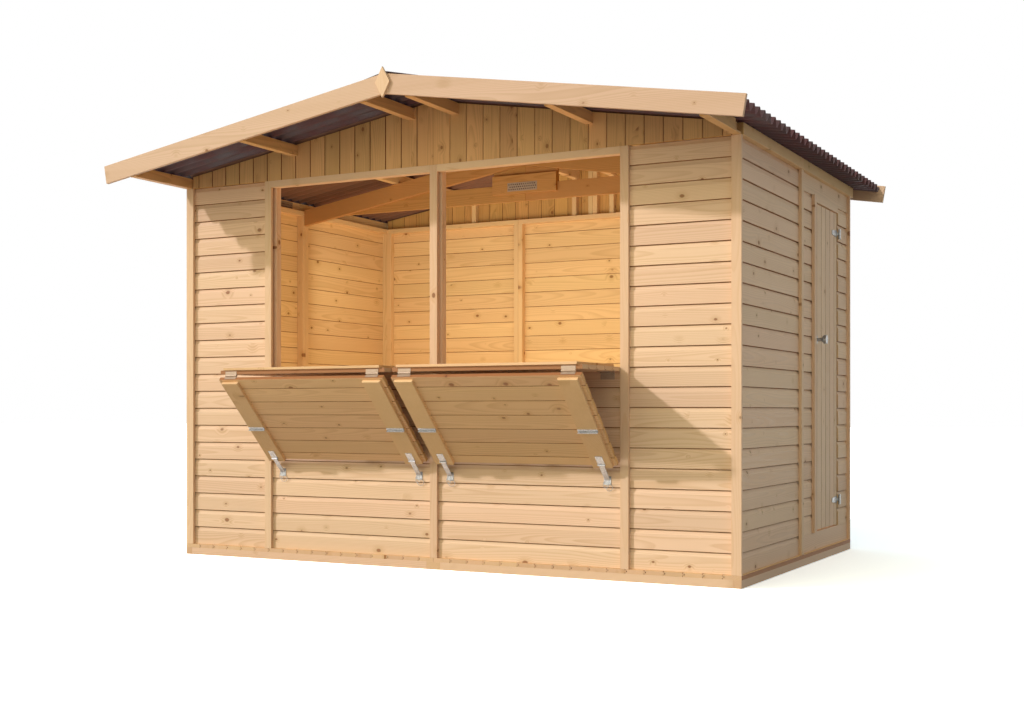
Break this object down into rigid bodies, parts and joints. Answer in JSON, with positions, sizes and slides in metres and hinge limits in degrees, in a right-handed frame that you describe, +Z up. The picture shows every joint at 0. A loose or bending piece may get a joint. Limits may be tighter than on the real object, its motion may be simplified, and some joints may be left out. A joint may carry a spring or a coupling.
{
  "type": "wooden market stall",
  "caption": "Boarded wooden market stall with two counter shutters folded down at the front, a side door and a low corrugated roof.",
  "frame": {"origin": "centre of the footprint on the ground, on the underside of the floor joists", "axes": "+X to the right seen from the counter side, +Y towards the back, +Z up; the counter faces -Y"},
  "size_m": [3.316, 2.594, 2.2923],
  "materials": {
    "spruce_boards": "matte",
    "spruce_trim": "matte",
    "spruce_frame": "matte",
    "bitumen_sheet": "matte",
    "zinc_steel": "satin"
  },
  "bodies": {
    "stall": {"floor_joists": "spruce_frame", "floor_rims": "spruce_frame", "floor_deck": "spruce_boards", "front_wall": "spruce_boards", "front_aprons": "spruce_boards", "left_wall": "spruce_boards", "right_wall": "spruce_boards", "back_wall": "spruce_boards", "door_surround": "spruce_boards", "front_studs": "spruce_frame", "front_rails": "spruce_frame", "back_studs": "spruce_frame", "back_rails": "spruce_frame", "side_studs": "spruce_frame", "side_rails": "spruce_frame", "cover_strips": "spruce_trim", "corner_strips": "spruce_trim", "window_headers": "spruce_trim", "front_gable": "spruce_boards", "rear_gable": "spruce_boards", "gable_studs": "spruce_frame", "eave_purlins": "spruce_frame", "purlins": "spruce_frame", "front_purlin_ends": "spruce_frame", "rear_purlin_ends": "spruce_frame", "truss_rafters": "spruce_frame", "truss_ties": "spruce_frame", "truss_splice": "spruce_frame", "roof_sheet_left": "bitumen_sheet", "roof_sheet_right": "bitumen_sheet", "ridge_cap": "bitumen_sheet", "barge_boards": "spruce_trim", "finials": "spruce_trim", "counter_shelves": "spruce_boards", "shutter_leaves": "spruce_boards", "shutter_battens": "spruce_frame", "shutter_hinges": "zinc_steel", "shutter_hasps": "zinc_steel", "shutter_brackets": "zinc_steel", "door_stops": "spruce_frame", "door_hinge_pins": "zinc_steel"},
    "door": {"door_boards": "spruce_boards", "door_ledges": "spruce_frame", "door_straps": "zinc_steel", "door_knob": "zinc_steel"}
  },
  "joints": [
    {"name": "door_hinge", "type": "hinge", "parent": "stall", "child": "door", "pos_m": [1.492, 0.779, 0.99], "axis": [0, 0, 1], "range_deg": [0, 160]}
  ]
}
